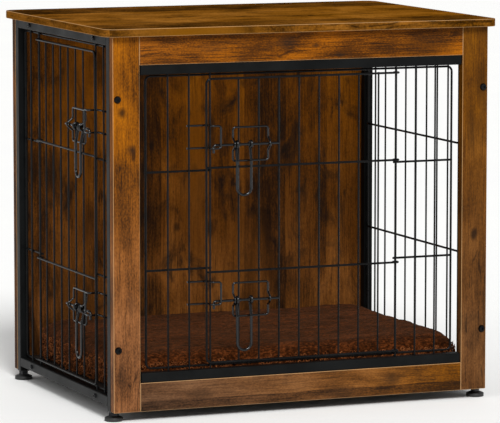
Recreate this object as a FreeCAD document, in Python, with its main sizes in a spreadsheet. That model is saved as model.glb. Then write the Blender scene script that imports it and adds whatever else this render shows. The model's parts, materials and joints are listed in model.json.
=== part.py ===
# Dog crate end table: a wooden table over a wire kennel with two hinged wire doors.
# Frame: X to the right, Y to the back, Z up, origin on the floor under the middle of the table top.
# "Along" is a distance on a wire panel: from the body's left side on the front panel, and from
# the front face of the boards on a side panel. "Out" is a distance outwards from the plane of
# a panel's upright wires. All sizes are in millimetres.

import FreeCAD, Part
import Sketcher
import math
import os
import re

Vector = FreeCAD.Vector
Rotation = FreeCAD.Rotation

os.makedirs("parts", exist_ok=True)
doc = FreeCAD.newDocument("DogCrateEndTable")

# ---------------------------------------------------------------- driving dimensions

drivingDimensions = {
    # table top and the body under it
    "totalHeight": 600, "bodyWidth": 624, "bodyDepth": 472, "topThick": 12, "topCornerRadius": 20,
    "frontOverhang": 12, "backOverhang": 6, "sideOverhang": 14,
    # boards
    "boardThick": 15, "edgeRound": 1, "postWidth": 43, "frontRailHeight": 44,
    "dowelDiameter": 8, "dowelLength": 30, "dowelInset": 11, "floorGap": 0.5,
    # square tube frames
    "tubeSize": 15, "tubeWall": 1.2, "tubeRound": 1.5, "sideRailLift": 7,
    "barHeight": 15, "barRecess": 1, "barEndGap": 2,
    # tabs behind the ends of the front bars
    "tabThick": 2, "tabLength": 30, "tabOnPost": 12,
    # wires
    "wireFine": 2.8, "wireHeavy": 3.4, "weldSink": 0.3, "midOverrun": 3, "frontWireDepth": 9,
    # rims of the wire panels, by their gaps to the frame around them
    "rimBend": 8, "sideRimGap": 4, "frontRimSideGap": 13.5, "frontRimLowGap": 5, "frontRimHighGap": 3,
    # upright wires, from the start of the rim, and hinge wires, from the end of the rim
    "wirePitch": 34.5, "frontWireFirst": 35, "frontHingeInset": 96.5, "frontRightPitch": 33.5,
    "leftWireFirst": 27, "leftHingeInset": 77.5, "leftBackPitch": 41,
    "rightWireFirst": 14.5, "rightWirePitch": 40.6,
    # cross wires, down from the top of the rim and up from its bottom
    "frontMidHigh": 146.5, "frontMidLow": 150, "leftMidHigh": 174, "leftMidLow": 175,
    "rightMidHigh": 172, "rightMidLow": 183,
    # doors: gaps to the rim and to the fixed cross wires, uprights from the free side to the eyes
    "doorBend": 8, "eyeClearance": 0.4, "freeSideOffset": 27, "eyeRun": 12,
    "frontDoorHighGap": 3.1, "frontDoorLowGap": 0.9, "leftDoorHighGap": 6.1, "leftDoorLowGap": 1.1,
    "doorMidHighGap": 0.6, "doorMidLowGap": 2.6,
    "frontDoorFirst": 54, "frontDoorPitch": 33.4, "leftDoorFirst": 61.9, "leftDoorPitch": 35.1,
    # latches: heights over and under the door's cross wires, then sizes along from the wire beside
    # the doorway
    "frontLatchHigh": 34.8, "frontLatchLow": 44.3, "leftLatchHigh": 41, "leftLatchLow": 52,
    "latchWire": 3.2, "latchBend": 4,
    "keeperStart": -2, "keeperDoorGap": 1.2, "keeperReach": 15.3, "keeperClearance": 0.6,
    "keeperTop": 30, "keeperBottom": -4.5,
    "boltDiameter": 4, "boltStroke": 26, "boltTail": 16, "boltHook": 12, "tipClearance": 1.4,
    "stopDiameter": 5.8, "stopLength": 3, "stopGap": 0.5,
    "guideStart": 70.5, "guideTop": 26, "guideBottom": -25.5, "guideClearance": 0.4,
    "guideHumpAngle": 40, "guideFootBend": 3,
    "handleDiameter": 4.4, "handleSpan": 23, "handleSideGap": 0.7, "handleBackGap": 0.6,
    "handleClearance": 0.3, "handleSlant": 12, "handleKnee": 8, "handleLean": 0.8, "handleDrop": 77.8,
    # screws: head and shank diameters, head heights, lengths under the head, places
    "boltHead": 11.5, "boltHeadHeight": 2.4, "boltShank": 5, "boltSocket": 3.6, "socketDepth": 1.6,
    "postScrewLength": 24, "postScrewLow": 96, "postScrewHigh": 95,
    "railHead": 8, "railScrewInset": 85, "railScrewShort": 20, "railScrewLong": 30,
    "backScrewLength": 24, "backScrewInset": 60,
    "woodHead": 7, "woodHeadHeight": 2, "woodShank": 3.5, "woodSocket": 2.4, "woodSocketDepth": 1.2,
    "tabScrewLength": 12, "tabScrewInset": 6, "bracketScrewLength": 10, "holeClearance": 0.2,
    # angle brackets under the table top
    "bracketWidth": 20, "bracketHeight": 18, "bracketReach": 22, "bracketThick": 2, "bracketScrewReach": 13,
    # feet
    "padDiameter": 28, "padRim": 5.6, "padHeight": 8, "padTopDiameter": 17, "padRound": 1.4,
    "footNutFlats": 13, "footNutHeight": 5.5, "footNutGap": 0.5, "studDiameter": 7.8, "studLength": 37,
    "insertFlange": 1, "insertHeight": 20, "insertClearance": 0.4,
    # cushion
    "cushionSideGap": 5, "cushionFrontGap": 18, "cushionBackGap": 10, "cushionThick": 57,
    "cushionCorner": 34, "cushionTopRound": 20, "cushionBottomRound": 8,
}

sheet = doc.addObject("Spreadsheet::Sheet", "sizes")
for row, (alias, value) in enumerate(drivingDimensions.items(), 1):
    sheet.set(f"A{row}", alias)
    sheet.set(f"B{row}", str(value))
    sheet.setAlias(f"B{row}", alias)
doc.recompute()


def formula(text):
    # every word in the text is an alias of the sheet
    return re.sub(r"[A-Za-z]\w+", lambda word: "sizes." + word.group(), str(text))


def mm(text):
    return float(sheet.evalExpression(formula(text)))


# places that many pieces share, as formulas on the sheet
topWidth = "(bodyWidth + 2 * sideOverhang)"
topDepth = "(frontOverhang + bodyDepth + backOverhang)"
leftSide = "-bodyWidth / 2"
frontFace = f"-{topDepth} / 2 + frontOverhang"
backFace = f"{frontFace} + bodyDepth"
bodyTop = "(totalHeight - topThick)"
footHeight = "(padHeight + footNutHeight + footNutGap + insertFlange)"
legFront = f"{frontFace} + boardThick"
legBack = f"{backFace} - boardThick - tubeSize"
legHeight = f"({bodyTop} - {footHeight})"
lowRail = f"({footHeight} + sideRailLift)"
highRail = f"({bodyTop} - tubeSize)"
floorTop = f"({lowRail} + boardThick)"
lowBar = f"({footHeight} + frontRailHeight)"
highBar = f"({bodyTop} - frontRailHeight - barHeight)"
barDepth = "(boardThick - barRecess)"
hingeOut = "((wireHeavy - wireFine) / 2)"
rimOut = "(-(wireHeavy + wireFine) / 2)"
crossOut = f"({rimOut} + weldSink)"
eyeRadius = "(wireHeavy + eyeClearance)"
doorOut = f"({hingeOut} + {eyeRadius})"
doorFineOut = f"({doorOut} - (wireHeavy + wireFine) / 2 + weldSink)"

hexSides = 6
# fixed upright wires beside the doorways, without the hinge wires
frontLeftCount = 3
frontRightCount = 2
leftFrontCount = 2
leftBackCount = 1
axes = {"x": Vector(1, 0, 0), "-x": Vector(-1, 0, 0), "y": Vector(0, 1, 0),
        "-y": Vector(0, -1, 0), "z": Vector(0, 0, 1), "-z": Vector(0, 0, -1)}

nodes = []


def node(obj, name):
    obj.Label = name
    nodes.append(obj)
    return obj


# ---------------------------------------------------------------- solids bound to the sheet

def setBase(obj, place):
    for axis, text in zip("xyz", place):
        obj.setExpression(f".Placement.Base.{axis}", formula(text))


def setSizes(obj, **sizes):
    for name, text in sizes.items():
        obj.setExpression(name, formula(text))


def addBox(name, size, corner):
    box = doc.addObject("Part::Box", name)
    setSizes(box, Length=size[0], Width=size[1], Height=size[2])
    setBase(box, corner)
    return box


def addCylinder(name, diameter, length, start, axis):
    cylinder = doc.addObject("Part::Cylinder", name)
    setSizes(cylinder, Radius=f"({diameter}) / 2", Height=length)
    cylinder.Placement = FreeCAD.Placement(Vector(), Rotation(axes["z"], axes[axis]))
    setBase(cylinder, start)
    return cylinder


def addPrism(name, flats, height, start, axis):
    # a hexagon with the given width across its flats
    prism = doc.addObject("Part::Prism", name)
    prism.Polygon = hexSides
    setSizes(prism, Circumradius=f"({flats}) / 2 / {math.cos(math.pi / hexSides):.6f}", Height=height)
    prism.Placement = FreeCAD.Placement(Vector(), Rotation(axes["z"], axes[axis]))
    setBase(prism, start)
    return prism


def addFuse(name, pieces):
    fuse = doc.addObject("Part::MultiFuse", name)
    fuse.Shapes = pieces
    return fuse


def addGroup(name, pieces):
    group = doc.addObject("Part::Compound", name)
    group.Links = pieces
    return group


def addCut(name, base, tools):
    cut = doc.addObject("Part::Cut", name)
    cut.Base = base
    cut.Tool = tools[0] if len(tools) == 1 else addGroup(name + "Tools", tools)
    return cut


def addFillet(name, base, radius, chosen):
    # rounds the edges of the base for which chosen(edge) is true
    doc.recompute()
    size = mm(radius)
    fillet = doc.addObject("Part::Fillet", name)
    fillet.Base = base
    fillet.Edges = [(number, size, size) for number, edge in enumerate(base.Shape.Edges, 1) if chosen(edge)]
    return fillet


def isParallel(axis):
    return lambda edge: abs(edge.tangentAt(edge.FirstParameter).dot(axes[axis])) > 0.99


def anyEdge(edge):
    return True


def addBoard(name, size, corner):
    return addFillet(name, addBox(name + "Blank", size, corner), "edgeRound", anyEdge)


def addTube(name, axis, length, corner, width="tubeSize", height="tubeSize"):
    # square tube along an axis; width and height are its other two sizes, in the order x, y, z
    outside = [width, height]
    outside.insert("xyz".index(axis), length)
    inside = [f"{side} - 2 * tubeWall" for side in (width, height)]
    inside.insert("xyz".index(axis), length)
    insideCorner = [place if across == axis else f"{place} + tubeWall"
                    for across, place in zip("xyz", corner)]
    blank = addBox(name + "Blank", outside, corner)
    rounded = addFillet(name + "Rounded", blank, "tubeRound", isParallel(axis))
    hollow = addBox(name + "Hollow", inside, insideCorner)
    return addCut(name, rounded, [hollow])


def addScrew(name, kind, length, place, axis):
    # the seat under the head is at place, and the shank runs from it along the axis
    head, headHeight, shank, socket, socketDepth = kind
    opposite = axis[1:] if axis.startswith("-") else "-" + axis
    topPlace = list(place)
    step = "xyz".index(axis[-1])
    sign = "+" if axis.startswith("-") else "-"
    topPlace[step] = f"{place[step]} {sign} {headHeight}"
    body = addCylinder(name + "Shank", shank, length, place, axis)
    cap = doc.addObject("Part::Cone", name + "Head")
    setSizes(cap, Radius1=f"{head} / 2", Radius2=f"{head} / 2 - {headHeight} / 2", Height=headHeight)
    cap.Placement = FreeCAD.Placement(Vector(), Rotation(axes["z"], axes[opposite]))
    setBase(cap, place)
    key = addPrism(name + "Socket", socket, socketDepth, topPlace, axis)
    return addCut(name, addFuse(name + "Body", [body, cap]), [key])


def addHole(name, shank, length, place, axis):
    return addCylinder(name, f"{shank} + holeClearance", length, place, axis)


frameBolt = ("boltHead", "boltHeadHeight", "boltShank", "boltSocket", "socketDepth")
railBolt = ("railHead", "boltHeadHeight", "boltShank", "boltSocket", "socketDepth")
woodScrew = ("woodHead", "woodHeadHeight", "woodShank", "woodSocket", "woodSocketDepth")


def fromSide(side, inset, width):
    # low X of a piece of this width that starts this far in from the left or right side of the body
    if side == "left":
        return f"{leftSide} + ({inset})"
    return f"-({leftSide}) - ({inset}) - ({width})"


def inward(side):
    return "x" if side == "left" else "-x"


# ---------------------------------------------------------------- bent wires

def bentPath(route, closed):
    # straight runs joined by tangent arcs; the route is (point, bend radius) pairs
    corners = []
    for index, (point, radius) in enumerate(route):
        if not closed and index in (0, len(route) - 1):
            corners.append((point, point, None))
            continue
        before = (point - route[index - 1][0]).normalize()
        after = (route[(index + 1) % len(route)][0] - point).normalize()
        halfTurn = before.getAngle(after) / 2
        reach = radius * math.tan(halfTurn)
        inwards = (after - before).normalize()
        middle = point + inwards * (radius / math.cos(halfTurn) - radius)
        arc = Part.Arc(point - before * reach, middle, point + after * reach)
        corners.append((point - before * reach, point + after * reach, arc))
    edges = []
    for index, (start, end, arc) in enumerate(corners):
        if arc:
            edges.append(arc.toShape())
        following = corners[(index + 1) % len(corners)][0]
        isLast = index == len(corners) - 1
        if (closed or not isLast) and end.distanceToPoint(following) > 1e-6:
            edges.append(Part.LineSegment(end, following).toShape())
    return Part.Wire(edges)


def addBentWire(name, route, diameter, base=Vector(), closed=False):
    path = bentPath(route, closed)
    first = path.OrderedEdges[0]
    start = first.valueAt(first.FirstParameter)
    heading = first.tangentAt(first.FirstParameter)
    section = Part.Wire(Part.Circle(start, heading, mm(diameter) / 2).toShape())
    wire = doc.addObject("Part::Feature", name)
    wire.Shape = path.makePipeShell([section], True, False)
    wire.Placement = FreeCAD.Placement(base, Rotation())
    return wire


# The panels that carry doors. "along" and "out" are unit directions; the origin is where along,
# out and height are all zero.
panels = {
    "front": {"along": axes["x"], "out": axes["-y"],
              "origin": Vector(mm(leftSide), mm(f"{frontFace} + frontWireDepth"), 0)},
    "left": {"along": axes["y"], "out": axes["-x"],
             "origin": Vector(mm(f"{leftSide} + tubeSize / 2"), mm(frontFace), 0)},
    "right": {"along": axes["y"], "out": axes["x"],
              "origin": Vector(-mm(f"{leftSide} + tubeSize / 2"), mm(frontFace), 0)},
}


def offset(panel, along, out, up):
    return panels[panel]["along"] * along + panels[panel]["out"] * out + Vector(0, 0, up)


def at(panel, along, out, up):
    return panels[panel]["origin"] + offset(panel, along, out, up)


def panelPlace(panel, along, out, up):
    # the same place as formulas on the sheet, for pieces that are bound to it
    if panel == "front":
        return (f"{leftSide} + {along}", f"{frontFace} + frontWireDepth - ({out})", up)
    if panel == "left":
        return (f"{leftSide} + tubeSize / 2 - ({out})", f"{frontFace} + {along}", up)
    return (f"-({leftSide}) - tubeSize / 2 + ({out})", f"{frontFace} + {along}", up)


def addUpright(name, panel, along, out, bottom, top, diameter="wireFine"):
    return addCylinder(name, diameter, f"({top}) - ({bottom})", panelPlace(panel, along, out, bottom), "z")


def addCross(name, panel, start, end, out, up, diameter="wireHeavy"):
    axis = "x" if panel == "front" else "y"
    return addCylinder(name, diameter, f"({end}) - ({start})", panelPlace(panel, start, out, up), axis)


def addRim(name, panel, out, start, end, bottom, top):
    bend = mm("rimBend")
    behind, low, high, near, far = mm(out), mm(bottom), mm(top), mm(start), mm(end)
    route = [(at(panel, near, behind, low), bend), (at(panel, far, behind, low), bend),
             (at(panel, far, behind, high), bend), (at(panel, near, behind, high), bend)]
    return addBentWire(name, route, "wireHeavy", closed=True)


def addGrille(name, panel, uprights, crossStart, crossEnd, crossHeights, bottom, top, hinge=None, rim=None):
    # upright wires from rail to rail, with cross wires welded behind them; hinge is the along of
    # a heavier upright that a door turns on, which stands out so that it also touches the rim
    wires = [addUpright(f"{name}Upright{index}", panel, along, 0, bottom, top)
             for index, along in enumerate(uprights)]
    if hinge:
        wires.append(addUpright(name + "Hinge", panel, hinge, hingeOut, bottom, top, "wireHeavy"))
    for index, up in enumerate(crossHeights):
        wires.append(addCross(f"{name}Cross{index}", panel, crossStart, crossEnd, crossOut, up))
    if rim:
        wires.append(rim)
    return node(addFuse(name, wires), name)


# ---------------------------------------------------------------- table top

topBody = doc.addObject("PartDesign::Body", "TopBoard")
floorPlane = next(plane for plane in topBody.Origin.OriginFeatures if plane.Role == "XY_Plane")
outline = topBody.newObject("Sketcher::SketchObject", "TopOutline")
outline.AttachmentSupport = [(floorPlane, "")]
outline.MapMode = "FlatFace"
outline.setExpression(".AttachmentOffset.Base.z", formula(bodyTop))
halfWidth = mm(f"{topWidth} / 2")
halfDepth = mm(f"{topDepth} / 2")
cornerPoints = [Vector(-halfWidth, -halfDepth, 0), Vector(halfWidth, -halfDepth, 0),
                Vector(halfWidth, halfDepth, 0), Vector(-halfWidth, halfDepth, 0)]
for index in range(4):
    outline.addGeometry(Part.LineSegment(cornerPoints[index], cornerPoints[(index + 1) % 4]), False)
for index in range(4):
    outline.addConstraint(Sketcher.Constraint("Coincident", index, 2, (index + 1) % 4, 1))
    outline.addConstraint(Sketcher.Constraint("Horizontal" if index % 2 == 0 else "Vertical", index))
outline.addConstraint(Sketcher.Constraint("Symmetric", 0, 1, 1, 2, -1, 1))
widthIndex = outline.addConstraint(Sketcher.Constraint("DistanceX", 0, 1, 0, 2, halfWidth * 2))
depthIndex = outline.addConstraint(Sketcher.Constraint("DistanceY", 1, 1, 1, 2, halfDepth * 2))
outline.setExpression(f"Constraints[{widthIndex}]", formula(topWidth))
outline.setExpression(f"Constraints[{depthIndex}]", formula(topDepth))
topPad = topBody.newObject("PartDesign::Pad", "TopPad")
topPad.Profile = outline
topPad.setExpression("Length", formula("topThick"))
doc.recompute()
uprightEdges = [f"Edge{number}" for number, edge in enumerate(topPad.Shape.Edges, 1) if isParallel("z")(edge)]
topCorners = topBody.newObject("PartDesign::Fillet", "TopCorners")
topCorners.Base = (topPad, uprightEdges)
topCorners.setExpression("Radius", formula("topCornerRadius"))
doc.recompute()
flatEdges = [f"Edge{number}" for number, edge in enumerate(topCorners.Shape.Edges, 1)
             if edge.BoundBox.ZLength < 1e-6]
topEdges = topBody.newObject("PartDesign::Fillet", "TopEdges")
topEdges.Base = (topCorners, flatEdges)
topEdges.setExpression("Radius", formula("edgeRound"))

sides = ("left", "right")
railScrewPlaces = {"front": f"{frontFace} + railScrewInset", "back": f"{backFace} - railScrewInset"}

brackets = []
bracketScrews = []
topPilots = []
for side in sides:
    for end, place in railScrewPlaces.items():
        name = f"{side}{end.title()}"
        low = f"{place} - bracketWidth / 2"
        bracketFoot = f"{bodyTop} - bracketHeight"
        upright = addBox(f"bracketUpright{name}", ("bracketThick", "bracketWidth", "bracketHeight"),
                         (fromSide(side, "tubeSize", "bracketThick"), low, bracketFoot))
        flange = addBox(f"bracketFlange{name}", ("bracketReach", "bracketWidth", "bracketThick"),
                        (fromSide(side, "tubeSize", "bracketReach"), low, f"{bodyTop} - bracketThick"))
        railHole = addHole(f"bracketRailHole{name}", "boltShank", "bracketThick",
                           (fromSide(side, "tubeSize", 0), place, f"{highRail} + tubeSize / 2"), inward(side))
        screwX = fromSide(side, "tubeSize + bracketScrewReach", 0)
        seat = (screwX, place, f"{bodyTop} - bracketThick")
        flangeHole = addHole(f"bracketFlangeHole{name}", "woodShank", "bracketThick", seat, "z")
        blank = addFuse(f"bracketBlank{name}", [upright, flange])
        brackets.append(addCut(f"bracket{name}", blank, [railHole, flangeHole]))
        bracketScrews.append(addScrew(f"bracketScrew{name}", woodScrew, "bracketScrewLength", seat, "z"))
        topPilots.append(addHole(f"topPilot{name}", "woodShank", "bracketScrewLength", seat, "z"))
node(addCut("tableTop", topBody, topPilots), "table_top")
node(addGroup("topBrackets", brackets), "top_brackets")
node(addGroup("topBracketScrews", bracketScrews), "top_bracket_screws")

# ---------------------------------------------------------------- front frame of boards

postScrewHeights = {"Lower": f"{footHeight} + postScrewLow", "Upper": f"{bodyTop} - postScrewHigh"}
frontRails = {"bottom": footHeight, "top": f"{bodyTop} - frontRailHeight"}
boardMiddle = f"{frontFace} + boardThick / 2"

dowels = {}
for side in sides:
    for rail, railFoot in frontRails.items():
        for level, inset in (("Lower", "dowelInset"), ("Upper", "frontRailHeight - dowelInset")):
            start = fromSide(side, "postWidth - dowelLength / 2", 0)
            dowels[side, rail, level] = addCylinder(
                f"dowel{side.title()}{rail.title()}{level}", "dowelDiameter", "dowelLength",
                (start, boardMiddle, f"{railFoot} + {inset}"), inward(side))
node(addGroup("frontFrameDowels", list(dowels.values())), "front_frame_dowels")

postScrews = []
legScrewHoles = {}
tabScrews = []
tabPilots = {}
tabs = []
bars = {"bottom": lowBar, "top": highBar}
tabFace = f"{frontFace} + boardThick"
for side in sides:
    title = side.title()
    for level, up in postScrewHeights.items():
        seat = (fromSide(side, "tubeSize / 2", 0), frontFace, up)
        postScrews.append(addScrew(f"postScrew{title}{level}", frameBolt, "postScrewLength", seat, "y"))
        legScrewHoles[side, "front", level] = addHole(f"postScrewHole{title}{level}", "boltShank",
                                                      "postScrewLength", seat, "y")
    for bar, barFoot in bars.items():
        name = f"{title}{bar.title()}"
        tabStart = "postWidth - tabOnPost"
        screwPlace = (fromSide(side, f"{tabStart} + tabScrewInset", 0), f"{tabFace} + tabThick",
                      f"{barFoot} + barHeight / 2")
        plate = addBox(f"tabPlate{name}", ("tabLength", "tabThick", "barHeight"),
                       (fromSide(side, tabStart, "tabLength"), tabFace, barFoot))
        hole = addHole(f"tabHole{name}", "woodShank", "tabThick", screwPlace, "-y")
        tabs.append(addCut(f"tab{name}", plate, [hole]))
        tabScrews.append(addScrew(f"tabScrew{name}", woodScrew, "tabScrewLength", screwPlace, "-y"))
        tabPilots[side, bar] = addHole(f"tabPilot{name}", "woodShank", "tabScrewLength", screwPlace, "-y")
node(addGroup("postScrewGroup", postScrews), "post_screws")
node(addGroup("frontPanelTabs", tabs), "front_panel_tabs")
node(addGroup("frontTabScrews", tabScrews), "front_tab_screws")

for side in sides:
    post = addBoard(f"postBoard{side.title()}", ("postWidth", "boardThick", legHeight),
                    (fromSide(side, 0, "postWidth"), frontFace, footHeight))
    holes = [dowels[key] for key in dowels if key[0] == side]
    holes += [legScrewHoles[side, "front", level] for level in postScrewHeights]
    holes += [tabPilots[side, bar] for bar in bars]
    node(addCut(f"frontPost{side.title()}", post, holes), f"front_post_{side}")

frontRailSize = ("bodyWidth - 2 * postWidth", "boardThick", "frontRailHeight")
for rail, railFoot in frontRails.items():
    board = addBoard(f"railBoard{rail.title()}", frontRailSize,
                     (f"{leftSide} + postWidth", frontFace, railFoot))
    node(addCut(f"frontRail{rail.title()}", board, [dowels[key] for key in dowels if key[1] == rail]),
         f"front_rail_{rail}")

# ---------------------------------------------------------------- back panel and floor board

backScrews = []
backScrewHeights = {"Lower": f"{footHeight} + backScrewInset", "Middle": f"({footHeight} + {bodyTop}) / 2",
                    "Upper": f"{bodyTop} - backScrewInset"}
for side in sides:
    for level, up in backScrewHeights.items():
        seat = (fromSide(side, "tubeSize / 2", 0), backFace, up)
        name = f"{side.title()}{level}"
        backScrews.append(addScrew(f"backPanelScrew{name}", frameBolt, "backScrewLength", seat, "-y"))
        legScrewHoles[side, "back", level] = addHole(f"backScrewHole{name}", "boltShank",
                                                     "backScrewLength", seat, "-y")
node(addGroup("backPanelScrews", backScrews), "back_panel_screws")
backBoard = addBoard("backBoard", ("bodyWidth", "boardThick", legHeight),
                     (leftSide, f"{backFace} - boardThick", footHeight))
backHoles = [legScrewHoles[key] for key in legScrewHoles if key[1] == "back"]
node(addCut("backPanel", backBoard, backHoles), "back_panel")

sideScrews = []
sideHoles = {}
for side in sides:
    for rail, railFoot, length in (("bottom", lowRail, "railScrewLong"), ("top", highRail, "railScrewShort")):
        for end, place in railScrewPlaces.items():
            seat = (fromSide(side, 0, 0), place, f"{railFoot} + tubeSize / 2")
            name = f"{side.title()}{rail.title()}{end.title()}"
            sideScrews.append(addScrew(f"sideScrew{name}", railBolt, length, seat, inward(side)))
            sideHoles[side, rail, end] = addHole(f"sideHole{name}", "boltShank", length, seat, inward(side))
node(addGroup("sideRailScrews", sideScrews), "side_rail_screws")

floorInset = "tubeSize + floorGap"
floorBlank = addBoard("floorBlank", (f"bodyWidth - 2 * ({floorInset})", "bodyDepth - 2 * boardThick",
                                     "boardThick"),
                      (fromSide("left", floorInset, 0), f"{frontFace} + boardThick", lowRail))
node(addCut("floorBoard", floorBlank, [sideHoles[key] for key in sideHoles if key[1] == "bottom"]),
     "floor_board")

# ---------------------------------------------------------------- side frames of square tube

legPlaces = {"front": legFront, "back": legBack}
for side in sides:
    title = side.title()
    sideX = fromSide(side, 0, "tubeSize")
    for end, place in legPlaces.items():
        leg = addTube(f"legTube{title}{end.title()}", "z", legHeight, (sideX, place, footHeight))
        holes = [legScrewHoles[key] for key in legScrewHoles if key[:2] == (side, end)]
        node(addCut(f"leg{title}{end.title()}", leg, holes), f"{side}_leg_{end}")
    for rail, railFoot in (("bottom", lowRail), ("top", highRail)):
        tube = addTube(f"railTube{title}{rail.title()}", "y",
                       "bodyDepth - 2 * boardThick - 2 * tubeSize",
                       (sideX, f"{legFront} + tubeSize", railFoot))
        holes = [sideHoles[side, rail, end] for end in railScrewPlaces]
        node(addCut(f"rail{title}{rail.title()}", tube, holes), f"{side}_rail_{rail}")

# ---------------------------------------------------------------- front bars and wire panels

for bar, barFoot in bars.items():
    inset = "postWidth + barEndGap"
    node(addTube(f"frontBar{bar.title()}", "x", f"bodyWidth - 2 * ({inset})",
                 (f"{leftSide} + {inset}", f"{frontFace} + barRecess", barFoot), barDepth, "barHeight"),
         f"front_bar_{bar}")

frontFoot = f"({lowBar} + barHeight)"
sideFoot = f"({lowRail} + tubeSize)"
rimStarts = {"front": "(postWidth + frontRimSideGap)", "side": "(boardThick + tubeSize + sideRimGap)"}
rimEnds = {"front": f"(bodyWidth - {rimStarts['front']})", "side": f"(bodyDepth - {rimStarts['side']})"}
rimBottoms = {"front": f"({frontFoot} + frontRimLowGap)", "side": f"({sideFoot} + sideRimGap)"}
rimTops = {"front": f"({highBar} - frontRimHighGap)", "side": f"({highRail} - sideRimGap)"}
midHeights = {panel: (f"({rimTops[kind]} - {panel}MidHigh)", f"({rimBottoms[kind]} + {panel}MidLow)")
              for panel, kind in (("front", "front"), ("left", "side"), ("right", "side"))}
frontRim = (rimStarts["front"], rimEnds["front"], rimBottoms["front"], rimTops["front"])
sideRim = (rimStarts["side"], rimEnds["side"], rimBottoms["side"], rimTops["side"])
node(addRim("frontRim", "front", rimOut, *frontRim), "front_panel_rim")
node(addRim("leftRim", "left", rimOut, *sideRim), "left_panel_rim")


def countAlong(start, end, pitch):
    # how many wires at this pitch fit from start to end
    return int((mm(end) - mm(start)) / mm(pitch)) + 1


halfHeavy = "wireHeavy / 2"
frontFirst = f"({rimStarts['front']} + frontWireFirst)"
leftFirst = f"({rimStarts['side']} + leftWireFirst)"
rightFirst = f"({rimStarts['side']} + rightWireFirst)"
frontHinge = f"({rimEnds['front']} - frontHingeInset)"
leftHinge = f"({rimEnds['side']} - leftHingeInset)"
# wires before each doorway, and the wire of them that holds the keepers
frontBefore = [f"{frontFirst} + {index} * wirePitch" for index in range(frontLeftCount)]
leftBefore = [f"{leftFirst} + {index} * wirePitch" for index in range(leftFrontCount)]
keeperWires = {"front": frontBefore[1], "left": leftBefore[0]}
# wires beyond each hinge wire
frontBehind = [f"{frontHinge} + {index + 1} * frontRightPitch" for index in range(frontRightCount)]
leftBehind = [f"{leftHinge} + {index + 1} * leftBackPitch" for index in range(leftBackCount)]

addGrille("front_grille_left", "front", frontBefore, f"{rimStarts['front']} + {halfHeavy}",
          f"{frontBefore[-1]} + midOverrun", midHeights["front"], frontFoot, highBar)
addGrille("front_grille_right", "front", frontBehind, f"{frontHinge} - midOverrun",
          f"{rimEnds['front']} - {halfHeavy}", midHeights["front"], frontFoot, highBar, frontHinge)
addGrille("left_grille_front", "left", leftBefore, f"{rimStarts['side']} + {halfHeavy}",
          f"{leftBefore[-1]} + midOverrun", midHeights["left"], sideFoot, highRail)
addGrille("left_grille_back", "left", leftBehind, f"{leftHinge} - midOverrun",
          f"{rimEnds['side']} - {halfHeavy}", midHeights["left"], sideFoot, highRail, leftHinge)
rightWires = [f"{rightFirst} + {index} * rightWirePitch"
              for index in range(countAlong(rightFirst, rimEnds["side"], "rightWirePitch"))]
addGrille("right_wire_panel", "right", rightWires, rimStarts["side"], rimEnds["side"], midHeights["right"],
          sideFoot, highRail, rim=addRim("rightRim", "right", crossOut, *sideRim))

# ---------------------------------------------------------------- doors

# the doors' wires pass the rim and the fixed cross wires with a gap between their eyes
doorMids = {panel: (f"({high} + wireHeavy + doorMidHighGap)", f"({low} - wireHeavy - doorMidLowGap)")
            for panel, (high, low) in midHeights.items() if panel in keeperWires}


def eyeRoute(panel, hingeAlong, up):
    # three quarters of a turn round the hinge wire, ending where the straight wire starts;
    # the corners of a square, each rounded to the eye's radius
    radius = mm(eyeRadius)
    axisOut = mm(hingeOut)
    return [(at(panel, hingeAlong - radius, axisOut, up), 0),
            (at(panel, hingeAlong - radius, axisOut - radius, up), radius),
            (at(panel, hingeAlong + radius, axisOut - radius, up), radius),
            (at(panel, hingeAlong + radius, axisOut + radius, up), radius)]


def addDoor(name, panel, hinge, bottom, top):
    # a frame wire with an eye at both ends, cross wires with an eye at one end, and upright
    # wires welded behind them, counted from the free side
    hingeAlong = mm(hinge)
    freeSide = mm(f"{keeperWires[panel]} + freeSideOffset")
    out = mm(doorOut)
    bend = mm("doorBend")
    frame = eyeRoute(panel, hingeAlong, mm(top))
    frame += [(at(panel, freeSide, out, mm(top)), bend), (at(panel, freeSide, out, mm(bottom)), bend)]
    frame += eyeRoute(panel, hingeAlong, mm(bottom))[::-1]
    wires = [addBentWire(name + "Frame", frame, "wireHeavy")]
    crossEnd = freeSide + mm("wireHeavy / 2 - weldSink")
    for index, mid in enumerate(doorMids[panel]):
        route = eyeRoute(panel, hingeAlong, mm(mid)) + [(at(panel, crossEnd, out, mm(mid)), 0)]
        wires.append(addBentWire(f"{name}Cross{index}", route, "wireHeavy"))
    first = f"{keeperWires[panel]} + freeSideOffset + {panel}DoorFirst"
    pitch = f"{panel}DoorPitch"
    for index in range(countAlong(first, f"{hinge} - eyeRun", pitch)):
        wires.append(addUpright(f"{name}Upright{index}", panel, f"{first} + {index} * {pitch}",
                                doorFineOut, f"{bottom} - {halfHeavy}", f"{top} + {halfHeavy}"))
    return node(addFuse(name, wires), name)


addDoor("front_door", "front", frontHinge, f"{rimBottoms['front']} + wireHeavy + frontDoorLowGap",
        f"{rimTops['front']} - wireHeavy - frontDoorHighGap")
addDoor("left_door", "left", leftHinge, f"{rimBottoms['side']} + wireHeavy + leftDoorLowGap",
        f"{rimTops['side']} - wireHeavy - leftDoorHighGap")

# ---------------------------------------------------------------- latches

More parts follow.
